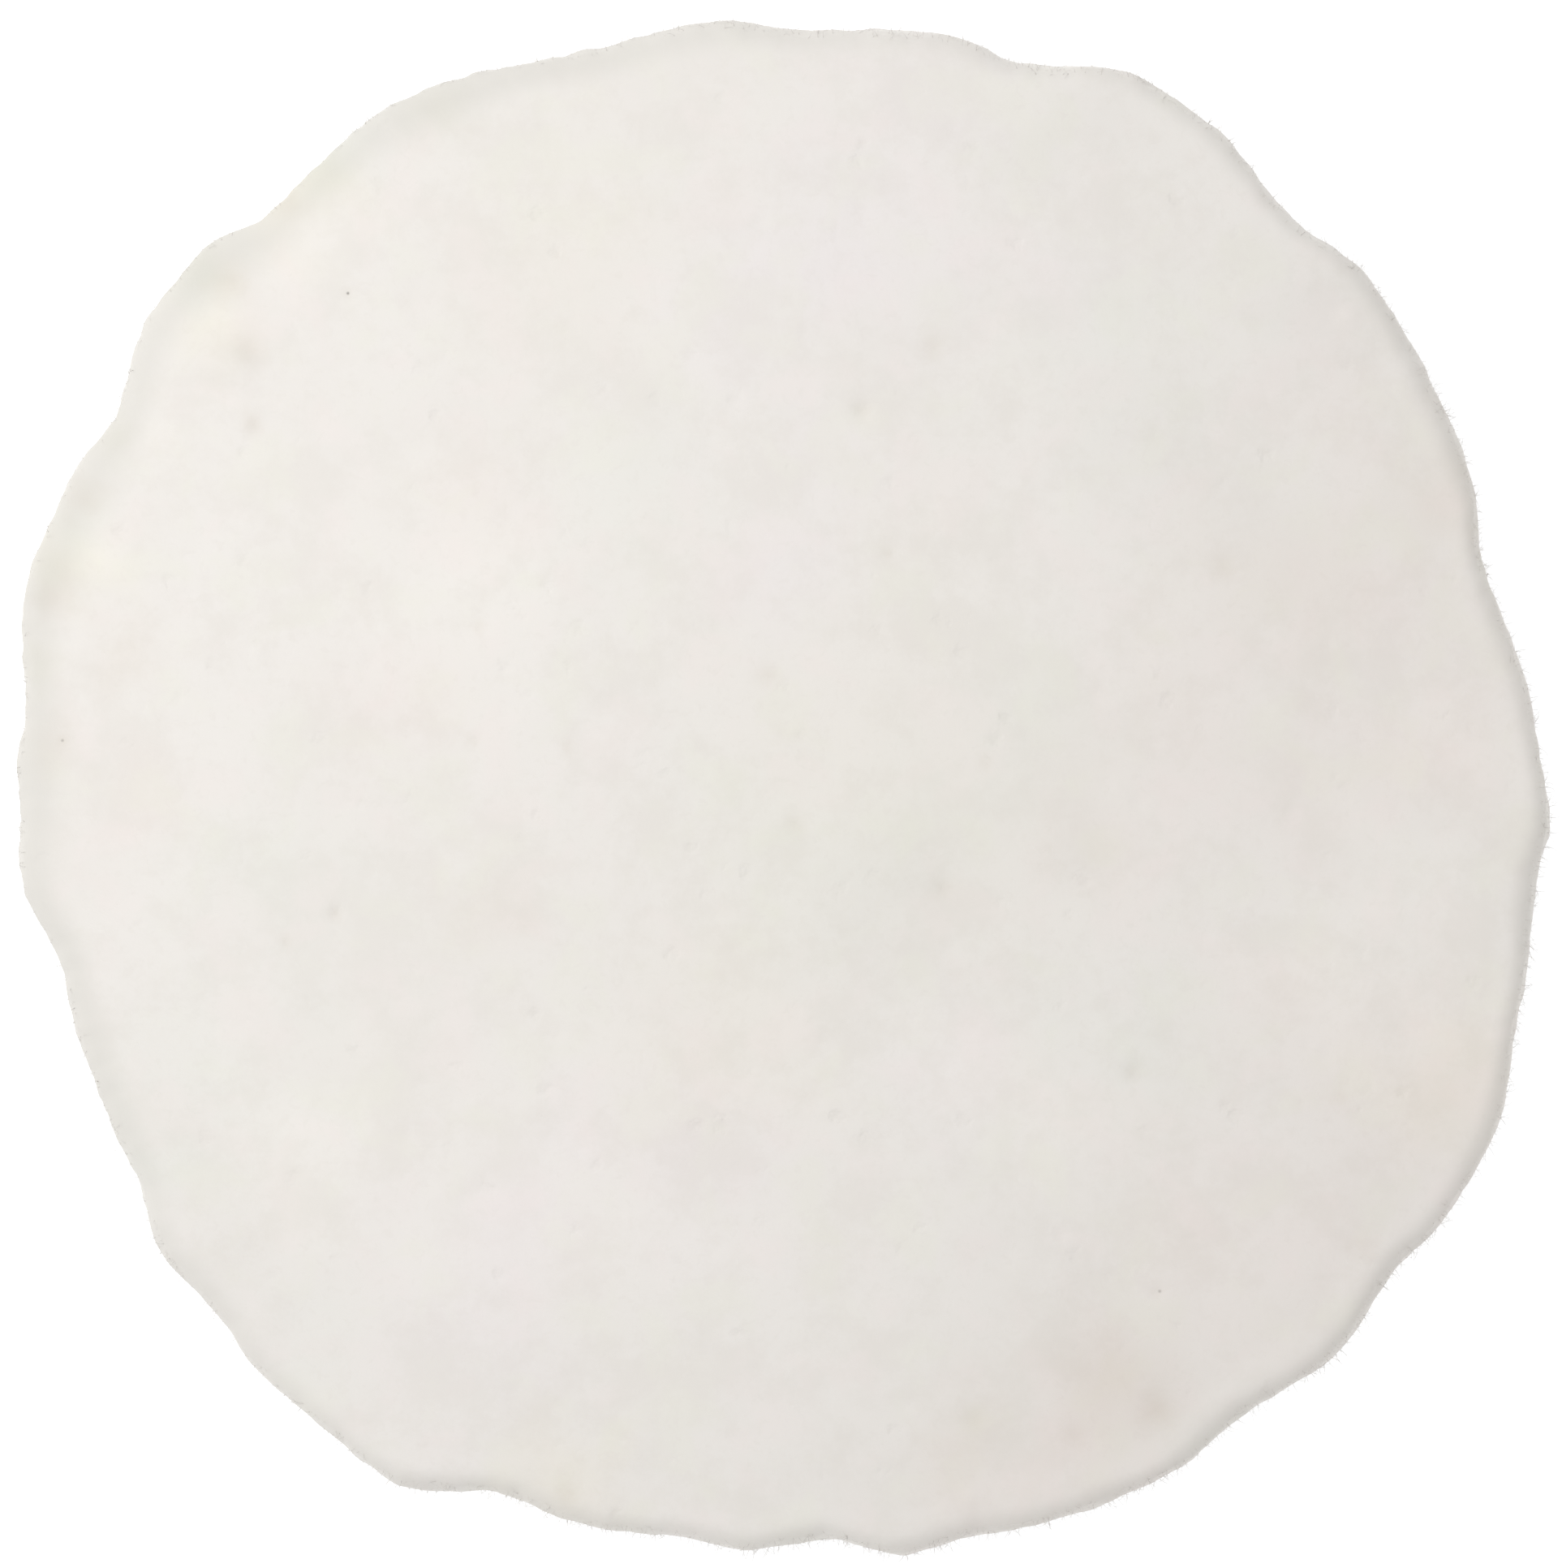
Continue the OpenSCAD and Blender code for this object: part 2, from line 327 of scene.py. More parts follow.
def feltMaterial():
    look = feltLook
    graph = newMaterial("pressedWoolFelt", **look["fixed"])
    x, y, z = graph.axes()
    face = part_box("felt_disc")[1].z

    def above(deep, shallow):  # from 0 to 1 between two depths below the face
        return z.eased(face - deep * mm, face - shallow * mm)

    noises = {name: graph.noise(*settings) for name, settings in look["noises"].items()}
    colour = look["wool"]
    for name, shows, amount, tint in look["washes"]:
        colour = graph.mixed(noises[name].eased(*shows) * amount, colour, look[tint])
    warp = graph.noise(*look["pitWarp"], output="Color")
    warped = graph.vectorMaths("MULTIPLY_ADD", warp, (look["pitWander"] * mm,) * 3, graph.place)
    pits = 1 - graph.cells(1 / (look["pitSpacing"] * mm), place=warped).eased(*look["pitSize"])
    pits = pits * noises["pitFields"].eased(*look["pitFieldFade"])
    # the pits are painted darker, a painted shade in their hollows
    colour = graph.mixed(pits * look["pitShade"], colour, look["shadedFibre"])
    # painted shade on the rolled edge and the cut side
    colour = graph.mixed(graph.attribute("edgeShade", "Fac"), colour, look["edgeShade"])
    # stains, together with painted shade in the dents and painted shade and highlight clouds
    colour = graph.vectorMaths("MULTIPLY", colour, graph.attribute("stainsAndPaintedLight", "Color"))
    # the cut side is painted darker between its fibres, a painted shade
    side = 1 - above(*look["side"])
    fibres = graph.noise(*look["fibres"], place=graph.stretched(look["fibreScale"]))
    fibreShade = side * fibres.eased(*look["fibreFade"]) * look["fibreShade"]
    colour = graph.mixed(fibreShade, colour, look["shadedFibre"])
    for speckX, speckY, radius, strength in look["specks"]:
        away = ((x - speckX * mm) ** 2 + (y - speckY * mm) ** 2).sqrt()
        spot = 1 - away.eased((radius - look["speckEdge"]) * mm, (radius + look["speckEdge"]) * mm)
        colour = graph.mixed(strength * spot * above(*look["speckDepth"]), colour, look["speck"])
    height = noises["nap"] * look["napHeight"] + noises["tufts"]
    height = height + side * fibres * look["fibreHeight"] - look["pitHeight"] * pits
    least, tuftShare = look["roughness"]
    rough = least + noises["tufts"] * tuftShare
    return graph.give(colour=colour, roughness=rough, normal=graph.bump(height, look["bump"] * mm))


felt = {
    "points": 960,  # around the edge
    "radius": 76,
    "sideDrops": [0.3, 0.7, 1.1, 1.6, 2.2, 2.9, 3.8, 4.8, 5.8, 6.8, 7.8, 8.6, 9.1],  # below the face
    "insets": [0.2, 0.5, 0.8, 1.2, 1.6, 2.0, 2.5, 3.0, 3.6, 4.3, 5.0, 5.8, 6.8, 8.0],  # inside the edge
    "backInsets": [0.4, 0.9, 2.0],
    "span": 240,  # faces across the middle of the face
    "backSpan": 0,  # its hidden back is one flat face
    "fade": 16,  # the cut edge's waves end this far inside it
    "wornAt": 152,  # degrees round the wheel, the middle of the more worn edge
    "wornSpread": (35, 90),  # degrees to each side of it, as worn as it and no longer worn
    "roll": (2.1, 2.5),  # how far the fresh edge's rounding reaches in and down
    "wornRoll": (4.8, 1.9),
    "rollWaver": (0.08, 16, 21),  # share of the reach, width, draw
    "crown": 0.25,
    "crownFade": 6,  # down the side
    "lip": (0.05, 1.25, 0.45),  # height, and its place and width as shares of the roll's reach
    "backRoll": (1.0, 0.35),  # up and in
    "edgeShade": (1.2, 0.42, 0.53),  # painted edge shade: its reach in rolls, how much, and how much more where the edge is worn
    "wobbles": [  # out, squeezed along the axis, width, draw: everywhere, where worn, down the side
        (0.05, 2, 3.4, 31), (0.04, 1, 2.2, 32), (0.10, 3, 9, 33),
    ],
    "sideFade": (1, 4),  # below the face
    "faceFade": (1.5, 0.5),  # below the face, where the hills and marks end and are all there
    "hills": [(42, 0.07, 11), (17, 0.016, 12), (8, 0.010, 13), (4.4, 0.007, 14)],  # width, height, draw
    "pits": 260,
    "pitRadius": (0.5, 1.5),
    "pitDepth": (0.02, 0.09),
    "pitMargin": 3,
    "pitDraw": 71,
    "markFall": 2,  # how steeply a dent or lump falls off
    "dents": [  # x, y, radius, depth
        (7.7, 37.1, 1.1, 0.32), (-1.6, 11.1, 1.3, 0.12), (10.2, 22.9, 0.8, 0.14), (-30.1, 15.9, 0.8, 0.12),
        (-30.5, 4.5, 0.8, 0.12), (-21.3, 4.0, 0.8, 0.08), (15.7, -9.9, 1.2, 0.14), (19.9, 2.4, 0.8, 0.10),
        (1.1, -3.6, 1.1, 0.10), (-44.1, -12.4, 0.8, 0.32), (-49, -15.2, 0.7, 0.12), (34.3, -28.1, 1, 0.12),
        (36.7, -49.7, 0.8, 0.16), (-52.6, 43.0, 1.6, 0.12), (-52.1, 35.3, 1.0, 0.12), (14.6, 43.4, 1.4, 0.08),
        (43.2, 21.6, 1.4, 0.08), (36.8, -61.5, 1.8, 0.18), (18.7, -62.1, 1.6, 0.12), (28.9, -63.8, 1.4, 0.14),
        (-21.3, -69.7, 1.4, 0.12), (-42.9, 48.6, 0.5, 0.1), (-71.0, 4.6, 0.6, 0.1),
    ],
    "lumps": [
        (55.6, 46.5, 1, 0.16), (18.3, -70.1, 1, 0.12), (-51.7, 13.2, 0.8, 0.10), (-26.8, -18.8, 0.7, 0.09),
    ],
    "creases": [  # degrees round the wheel, spread, inside the edge, width, depth
        (-44, 7, 5, 0.8, 0.07), (-36, 5, 3.6, 0.6, 0.05), (-58, 6, 4.4, 0.7, 0.05), (-20, 6, 3.2, 0.6, 0.04),
        (100, 10, 6.0, 0.8, 0.04), (30, 5, 4.0, 0.6, 0.05),
    ],
    "tints": {
        "pink": (1.000, 0.982, 0.982), "lilac": (1.004, 0.996, 1.014), "green": (0.986, 1.000, 0.992),
        "brown": (0.980, 0.968, 0.957), "pale": (1.030, 1.030, 1.025), "grey": (0.975, 0.975, 0.975),
        "cream": (1.008, 1.002, 0.968), "tan": (1.000, 0.995, 0.980), "olive": (0.972, 0.976, 0.955),
        "umber": (0.965, 0.953, 0.940),
    },
    "dentShade": (0.966, 0.958, 0.944),  # painted shade in the dents
    "dentShadeFall": 1.5,
    "cloudWander": (0.3, 1.6, -0.6, 1.2),  # how uneven, over how many cloud widths, and its limits
    "clouds": {  # x, y, width
        "brown": [
            (49, 20, 8), (32.5, -59, 9), (18, -65, 5), (-29, -12.5, 4), (-65, 13, 3.5), (63, 29, 5),
            (33, -57, 4), (57, -45, 1.2), (54.6, -30.6, 1), (65, 27, 4),
        ],
        # the small grey clouds at (-52.1, 36.2), (-52.6, 39) and (-52.9, 42.4), along a streak of dents, are
        # painted shade in them
        "grey": [
            (32.5, -59, 8), (14, -9.5, 3.5), (29, -6, 4), (-53, 43, 3), (8, -12, 7), (55, 47, 7),
            (54, 47, 3.5), (-52.1, 36.2, 1.4), (-52.6, 39, 1.1), (-71, 20, 2.5), (-57.5, 51, 2.5),
            (-52.9, 42.4, 1.5), (59.3, -39.3, 0.9), (34, -27.5, 1.2), (32, 66, 5), (36, 33, 7),
            (-53, -46, 5), (24, 62, 4),
        ],
        # the pale clouds at (55, 46) and along the worn edge's inner border at (-55, 45.5), (-61.8, 34.6) and
        # (-67.2, 23) are painted highlights; the larger ones are pale patches in the wool
        "pale": [
            (61, -10, 9), (17.5, -28, 5), (-22, -41, 12), (-47, -35, 8), (-30, 20, 10), (-55, 45.5, 1.5),
            (-61.8, 34.6, 2), (-67.2, 23, 2), (55, 46, 1.6), (66, -22, 8), (69, 3, 7), (27, -32, 6),
            (-46, 55, 5), (52, -19, 6),
        ],
        "lilac": [
            (17.5, -28, 6), (3, 52, 8), (-1, 20, 6), (-25, -40, 9), (-6, -38, 8), (12, 55, 9),
            (-30, -52, 10), (28, 50, 6), (-13, -33, 6), (4, 31, 6), (-7, 45, 6), (13, 68, 5),
        ],
        "pink": [
            (-30, 29, 5), (-39, 8, 7), (-62, -2, 5), (55, 37, 6), (40, 5, 12), (63, -30, 12), (45, -45, 14),
            (66, 8, 10), (18, -70, 5), (30, -66, 5), (31, -60, 5), (48, -21, 6), (32, -7, 5), (58, 20, 6),
            (60, 2, 6),
        ],
        "green": [
            (31, 44, 8), (35, -26, 8), (23, 4, 9), (-57, -30, 8), (-51, -9, 9), (-14, 28, 7), (-57, 49, 3),
            (-60, -37, 3), (-69, 25, 3), (-44, 63, 4), (5, -8, 12), (-46, -54, 4),
        ],
        "tan": [
            (8, 0, 18), (-8, -28, 12), (-22, 52, 9),
        ],
        "cream": [
            (-56, 45, 4), (-69, 22, 4), (-50, 60, 6), (-22, -68, 5), (65, -30, 6),
        ],
        "umber": [
            (-54.4, 49.8, 1.8), (-49, 57.5, 1.5), (-68.8, 28.4, 1.8), (-72.5, 18.5, 1.5), (-52.4, 36, 0.9),
            (36.8, -61.1, 1.8), (-71.5, 4, 2.5),
        ],
        "olive": [
            (-58, 52, 3), (-46, 61, 3), (-65.7, 34.6, 1.8), (-71.9, 21, 2), (-73, 12, 2), (-34, 66, 3),
        ],
    },
}


def cutEdge(node):  # the radius of a part's outline at the angles asked for
    points = np.array([vertex.co[:] for vertex in nodes[node].data.vertices])
    angles = np.arctan2(points[:, 1], points[:, 0])
    order = np.argsort(angles)
    radii = np.hypot(points[:, 0], points[:, 1])[order]
    return lambda angle: np.interp(angle, angles[order], radii, period=2 * math.pi)


def extrudeRing(up, factor):
    bpy.ops.mesh.extrude_region_move(TRANSFORM_OT_translate={"value": (0, 0, up)})
    bpy.ops.transform.resize(value=(factor, factor, 1), center_override=(0, 0, 0))


def insetRings(radius, insets):
    last = radius
    for inset in insets:
        extrudeRing(0, (radius - inset) / last)
        last = radius - inset


def roundBlank(settings, low, high):  # a disc with rings up its side and over its face
    radius = settings["radius"]
    bpy.ops.mesh.primitive_circle_add(
        vertices=settings["points"], radius=radius * mm, fill_type="NOTHING", location=(0, 0, high)
    )
    piece = bpy.context.object
    placeInMesh(piece)
    edit(piece)
    bpy.ops.mesh.select_all(action="SELECT")
    last = 0
    for drop in settings["sideDrops"]:
        extrudeRing((last - drop) * mm, 1)
        last = drop
    extrudeRing(low - high + last * mm, 1)
    insetRings(radius, settings["backInsets"])
    if settings["backSpan"]:
        bpy.ops.mesh.fill_grid(span=settings["backSpan"])
    else:
        bpy.ops.mesh.edge_face_add()
    pick(piece, "EDGE", lambda at: at.z > high - levelGap)
    insetRings(radius, settings["insets"])
    bpy.ops.mesh.fill_grid(span=settings["span"])
    cleanNormals(piece)
    return piece


def roundOver(points, low, high, angle):  # rolls the square corner over, softens the back's, and gives the painted edge shade
    worn = wornShare(angle)
    reach, drop = [
        fresh + (old - fresh) * worn for fresh, old in zip(felt["roll"], felt["wornRoll"])
    ]
    share, width, draw = felt["rollWaver"]
    along = angle * felt["radius"]
    reach = reach * (1 + share * ripples(along, 0 * along, width, draw)) * mm
    drop = drop * mm
    inset = felt["radius"] * mm - np.hypot(points[:, 0], points[:, 1])
    depth = high - points[:, 2]
    onFace = depth < hair
    place = np.where(onFace, inset / reach, -depth / drop)
    turn = math.pi / 4 * (1 + np.clip(place, -1, 1))
    corner = np.abs(place) < 1
    newInset = np.where(corner, reach * (1 - np.cos(turn)), inset)
    newDepth = np.where(corner, drop * (1 - np.sin(turn)), depth)
    lipHeight, lipPlace, lipWidth = felt["lip"]
    lip = lipHeight * mm * np.exp(-(((inset - lipPlace * reach) / (lipWidth * reach)) ** 2))
    crown = felt["crown"] * mm * (1 - inset / (felt["radius"] * mm)) ** 3
    sideCrown = crown * (1 - ease(depth, 0, felt["crownFade"] * mm))
    newDepth = newDepth + np.where(onFace, crown - lip, sideCrown)
    backUp, backIn = felt["backRoll"]
    back = ease(points[:, 2], low + backUp * mm, low)
    shadeReach, shadeLeast, shadeMore = felt["edgeShade"]
    # painted edge shade: darkest at the edge and down the side, fading inwards over its reach, more where the
    # edge is worn
    edgeShade = (1 - ease(inset / reach, 0, shadeReach)) * (shadeLeast + shadeMore * worn)
    return newInset + backIn * mm * back ** 2, high - newDepth, edgeShade


def degreesFrom(angle, middleAngle):  # the shorter way round, from -180 to 180
    return (np.degrees(angle) - middleAngle + 180) % 360 - 180


def wornShare(angle):
    return 1 - ease(np.abs(degreesFrom(angle, felt["wornAt"])), *felt["wornSpread"])


def paint(piece, x, y, edgeShade):  # the stains, the painted shade in the dents and the painted edge shade, for the material
    x, y = x / mm, y / mm
    stainsAndPaintedLight = np.ones((len(x), 4))
    uneven, widths, least, most = felt["cloudWander"]
    clouds = [(tint, *cloud) for tint, places in felt["clouds"].items() for cloud in places]
    for tint, cloudX, cloudY, width in clouds:
        wander = np.clip(uneven * ripples(x, y, widths * width, len(tint) + int(cloudX)), least, most)
        cloud = np.exp(-((x - cloudX) ** 2 + (y - cloudY) ** 2) / width ** 2 * (1 + wander))
        stainsAndPaintedLight[:, :3] *= 1 + np.outer(cloud, np.array(felt["tints"][tint]) - 1)
    # painted shade in the dents, darkest at their middles
    for dentX, dentY, size, _ in felt["dents"]:
        shade = np.exp(-felt["dentShadeFall"] * ((x - dentX) ** 2 + (y - dentY) ** 2) / size ** 2)
        stainsAndPaintedLight[:, :3] *= 1 + np.outer(shade, np.array(felt["dentShade"]) - 1)
    attribute = piece.data.attributes.new("stainsAndPaintedLight", "FLOAT_COLOR", "POINT")
    attribute.data.foreach_set("color", stainsAndPaintedLight.astype(np.float32).ravel())
    attribute = piece.data.attributes.new("edgeShade", "FLOAT", "POINT")
    attribute.data.foreach_set("value", edgeShade.astype(np.float32))


def scatterPits():
    radius = felt["radius"]
    draw = random.Random(felt["pitDraw"])
    pits = []
    while len(pits) < felt["pits"]:
        x, y = draw.uniform(-1, 1) * radius, draw.uniform(-1, 1) * radius
        if math.hypot(x, y) < radius - felt["pitMargin"]:
            pits.append((x, y, draw.uniform(*felt["pitRadius"]), draw.uniform(*felt["pitDepth"])))
    return pits


def makeFelt():
    low, high = (corner.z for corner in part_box("felt_disc"))
    deselectAll()
    piece = roundBlank(felt, low, high)
    points = readPoints(piece)
    angle = np.arctan2(points[:, 1], points[:, 0])
    inset, z, edgeShade = roundOver(points, low, high, angle)
    radius = felt["radius"] * mm - inset
    radius = radius + cutWaves(points, z, high, angle) * ease(
        radius, (felt["radius"] - felt["fade"]) * mm, felt["radius"] * mm
    )
    x, y = radius * np.cos(angle), radius * np.sin(angle)
    within = cutEdge("felt_disc")(angle) / mm - radius / mm
    deep, shallow = felt["faceFade"]
    onFace = ease(z, high - deep * mm, high - shallow * mm)
    z = markFace(x / mm, y / mm, z, onFace, within, angle)
    writePoints(piece, np.stack([x, y, z], axis=1))
    paint(piece, x, y, edgeShade)
    bpy.ops.object.shade_smooth()
    finishPiece(piece, "felt_face", "felt_pad", "felt", feltMaterial(), "felt_disc")
    return piece


def cutWaves(points, z, high, angle):  # how far the cut edge stands out of the round
    along = felt["radius"] * angle
    start, end = felt["sideFade"]
    shares = (1, wornShare(angle), ease(high - z, start * mm, end * mm))
    wobble = 0
    for share, (out, squeeze, width, draw) in zip(shares, felt["wobbles"]):
        wobble = wobble + out * share * ripples(along, points[:, 2] / mm * squeeze, width, draw)
    return cutEdge("felt_disc")(angle) - felt["radius"] * mm + wobble * mm


def markFace(x, y, z, onFace, within, angle):  # its hills, creases, dents, pits and lumps
    for width, height, draw in felt["hills"]:
        z = z + onFace * height * mm * ripples(x, y, width, draw)
    for turn, spread, depthIn, width, depth in felt["creases"]:
        away = degreesFrom(angle, turn) / spread
        z = z - onFace * depth * mm * np.exp(-(((within - depthIn) / width) ** 2) - away ** 2)
    for marks, direction in ((felt["dents"] + scatterPits(), -1), (felt["lumps"], 1)):
        for markX, markY, size, height in marks:
            away = ((x - markX) ** 2 + (y - markY) ** 2) / size ** 2
            z = z + direction * onFace * height * mm * np.exp(-felt["markFall"] * away)
    return z


fuzz = {
    "count": 5200,
    "sides": 3,
    "thickness": 0.035,
    "bends": [  # across, up, turn, size
        (0.10, 0.25, 0.2, 0.85), (0.12, 0.22, 0.25, 0.85), (0.16, 0.18, 0.3, 0.85), (0.18, 0.12, 0.35, 0.85),
    ],
    "lengths": (0.5, 1.4),
    "lean": 0.9,
    "leastOut": 0.25,  # how far out of the skin a fibre has to point, as a cosine
    "lowest": 0.5,  # above the felt's back
    "sideways": 0.75,  # they grow where the skin's normal is less upright than this
    "sunk": 0.05,
    "draw": 61,
}


def closeRoot(piece):  # caps the open end at the origin's height
    pick(piece, "EDGE", lambda at: abs(at.z) < hair)
    bpy.ops.mesh.edge_face_add()
    cleanNormals(piece)


def bentStalk(sides, radius, bends):  # a thin closed shape that stands on the origin
    deselectAll()
    bpy.ops.mesh.primitive_circle_add(vertices=sides, radius=radius * mm, fill_type="NOTHING")
    stalk = bpy.context.object
    edit(stalk)
    bpy.ops.mesh.select_all(action="SELECT")
    for across, up, turn, size in bends:
        bpy.ops.mesh.extrude_region_move(TRANSFORM_OT_translate={"value": (across * mm, 0, up * mm)})
        shape = bmesh.from_edit_mesh(stalk.data)
        centre = sum((vertex.co for vertex in shape.verts if vertex.select), Vector()) / sides
        bpy.ops.transform.rotate(value=-turn, orient_axis="Y", center_override=centre)
        bpy.ops.transform.resize(value=(size, size, size), center_override=centre)
    bpy.ops.mesh.edge_face_add()
    closeRoot(stalk)
    return stalk


def placeCopies(single, places):  # one mesh of many copies of a small shape
    shape = readPoints(single)
    faces = [tuple(face.vertices) for face in single.data.polygons]
    points, allFaces = [], []
    for place in places:
        base = len(points) * len(shape)
        points.append(shape @ np.array(place.to_3x3()).T + np.array(place.translation))
        allFaces += [tuple(index + base for index in face) for face in faces]
    mesh = bpy.data.meshes.new(single.name)
    mesh.from_pydata(np.concatenate(points).tolist(), [], allFaces)
    group = bpy.data.objects.new(single.name, mesh)
    bpy.context.scene.collection.objects.link(group)
    bpy.data.objects.remove(single)
    makeActive(group)
    bpy.ops.object.shade_smooth()
    return group


def makeFuzz(skin):  # short fibres that stand out of the felt's cut side
    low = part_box("felt_disc")[0].z + fuzz["lowest"] * mm
    draw = random.Random(fuzz["draw"])
    roots = [
        vertex for vertex in skin.data.vertices
        if vertex.co.z > low and abs(vertex.normal.z) < fuzz["sideways"]
    ]
    places = []
    for _ in range(fuzz["count"]):
        root = draw.choice(roots)
        lean = Vector([draw.uniform(-1, 1) * fuzz["lean"] for _ in range(3)])
        heading = (root.normal + lean).normalized()
        if heading.dot(root.normal) < fuzz["leastOut"]:
            heading = root.normal
        turn = heading.to_track_quat("Z", "Y").to_matrix().to_4x4()
        spin = Matrix.Rotation(draw.uniform(0, 2 * math.pi), 4, "Z")
        size = draw.uniform(*fuzz["lengths"])
        stretch = Matrix.Diagonal((size, size, size, 1))
        foot = root.co - fuzz["sunk"] * mm * root.normal
        places.append(Matrix.Translation(foot) @ turn @ spin @ stretch)
    fibre = bentStalk(fuzz["sides"], fuzz["thickness"] / 2, fuzz["bends"])
    fibres = placeCopies(fibre, places)
    wool = looseMaterial("looseWool", feltLook["wool"], 900, 0.002, 0.8)
    finishPiece(fibres, "loose_fibres", "felt_pad", "felt", wool)


makeFuzz(makeFelt())


turnedLook = {
    "detail": (3.0, 2.0),  # of the grooves and of the wider passes
    "passWidth": 6,  # in grooves
    "smudge": (60, 3.0, 0.6),
    "dark": 0.70,
    "tintShares": (0.6, 0.25, 0.15),  # grooves, passes, smudge
    "tintFade": (0.38, 0.62),
    "smoother": 0.13,
    "roughShares": (0.14, 0.06, 0.10),
}


def turnedMaterial(name, colour, roughness, scale, height):  # grooves that a lathe leaves round the axis
    look = turnedLook
    graph = newMaterial(name, Metallic=1.0)
    x, y, z = graph.axes()
    along = (x ** 2 + y ** 2).sqrt() + z
    grooves = graph.bands(along, scale, look["detail"][0])
    passes = graph.bands(along, scale / look["passWidth"], look["detail"][1])
    marks = (grooves, passes, graph.noise(*look["smudge"]))
    shade = sum(share * mark for share, mark in zip(look["tintShares"], marks))
    tint = graph.mixed(shade.eased(*look["tintFade"]), darkened(colour, look["dark"]), colour)
    rough = sum(
        (share * mark for share, mark in zip(look["roughShares"], marks)), roughness - look["smoother"]
    )
    return graph.give(colour=tint, roughness=rough, normal=graph.bump(grooves + passes, height * mm))


loopCloth = {
    "points": 360,
    "inset": 1,
    "ground": 0.5,  # thickness of the knitted ground that carries the loops
    "root": 0.1,  # how deep the loops start inside it
    "fray": (0.12, 1.6, 41),  # out, width, draw
    "trim": 0.1,  # how far it stays inside its cut edge
    "still": 0.8,  # its middle keeps its shape to this share of the radius
    "pitch": 2.3,  # between loops
    "margin": 1.6,
    "loopWidth": 0.9,
    "loopSegments": (12, 4),
    "neck": (0.25, 0.6),  # share of the height, and how narrow
    "yarn": 0.13,
    "jitter": 0.5,
    "sizes": (0.85, 1),
}

clothLook = {
    "fixed": {"Sheen Weight": 0.3, "Specular IOR Level": 0.3},
    "colour": (0.74, 0.735, 0.71, 1),
    "shadow": (0.60, 0.59, 0.56, 1),
    "stitch": (0.9, 0.35),  # width, and how uneven
    "down": (3200, 3.0, 0.65, 0.8),
    "shares": (0.7, 0.5),  # stitches and down
    "fade": (0.25, 0.75),
    "downHeight": 0.5,
    "bump": 0.12,
    "roughness": (0.78, 0.15),  # least, and what the down adds
}


def clothMaterial():
    look = clothLook
    graph = newMaterial("knittedLoopCloth", **look["fixed"])
    width, uneven = look["stitch"]
    rows = graph.cells(1 / (width * mm), uneven)
    down = graph.noise(*look["down"])
    rowShare, downShare = look["shares"]
    shade = (rows * rowShare + down * downShare).eased(*look["fade"])
    colour = graph.mixed(shade, look["shadow"], look["colour"])
    normal = graph.bump(down * look["downHeight"] - rows, look["bump"] * mm)
    least, more = look["roughness"]
    return graph.give(colour=colour, roughness=least + more * down, normal=normal)


flatSheet = {
    "bevel": 0.12,
    "segments": 3,
    "rim": 4,  # the ring inside its edge, in bevels
    "sharp": 0.7,  # the least angle that gets a bevel
}


def flatBlank(points, radius, low, high):  # a thin round sheet, with softened edges
    bevel = flatSheet["bevel"] * mm
    rim = flatSheet["rim"] * bevel
    bpy.ops.mesh.primitive_circle_add(vertices=points, radius=radius, fill_type="NGON", location=(0, 0, low))
    piece = bpy.context.object
    placeInMesh(piece)
    edit(piece)
    bpy.ops.mesh.select_all(action="SELECT")
    bpy.ops.mesh.extrude_region_move(TRANSFORM_OT_translate={"value": (0, 0, high - low)})
    bpy.ops.mesh.inset(thickness=rim)
    pick(piece, "EDGE", lambda at: abs(at.z - low) < hair)
    bpy.ops.mesh.edge_face_add()
    bpy.ops.mesh.inset(thickness=rim)
    cleanNormals(piece)
    settings = {"segments": flatSheet["segments"], "angle_limit": flatSheet["sharp"]}
    applyModifier(piece, "BEVEL", width=bevel, limit_method="ANGLE", **settings)
    makeActive(piece)
    return piece


def makeLoopCloth():
    low, high = (corner.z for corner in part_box("loop_cloth"))
    bottom = high - loopCloth["ground"] * mm
    radius = (felt["radius"] - loopCloth["inset"]) * mm
    piece = flatBlank(loopCloth["points"], radius, bottom, high)
    points = readPoints(piece)
    angle = np.arctan2(points[:, 1], points[:, 0])
    reach = np.hypot(points[:, 0], points[:, 1])
    out, width, draw = loopCloth["fray"]
    fray = out * mm * ripples(angle * felt["radius"], 0 * angle, width, draw)
    waves = cutEdge("loop_cloth")(angle) + fray - loopCloth["trim"] * mm - radius
    grown = reach + waves * ease(reach, loopCloth["still"] * radius, radius)
    points[:, 0] = grown * np.cos(angle)
    points[:, 1] = grown * np.sin(angle)
    writePoints(piece, points)
    bpy.ops.object.shade_smooth_by_angle(angle=smoothAngle)
    cloth = clothMaterial()
    finishPiece(piece, "loop_cloth_ground", "felt_pad", "loop_cloth", cloth, "loop_cloth")
    root = bottom + loopCloth["root"] * mm
    loop = makeLoop(root - low)
    pile = scatter(loop, loopCloth["pitch"], radius - loopCloth["margin"] * mm, root, turnAtRandom)
    finishPiece(pile, "loop_pile", "felt_pad", "loop_cloth", cloth)
    width = 2 * felt["radius"] * mm
    cut = math.pi * radius ** 2


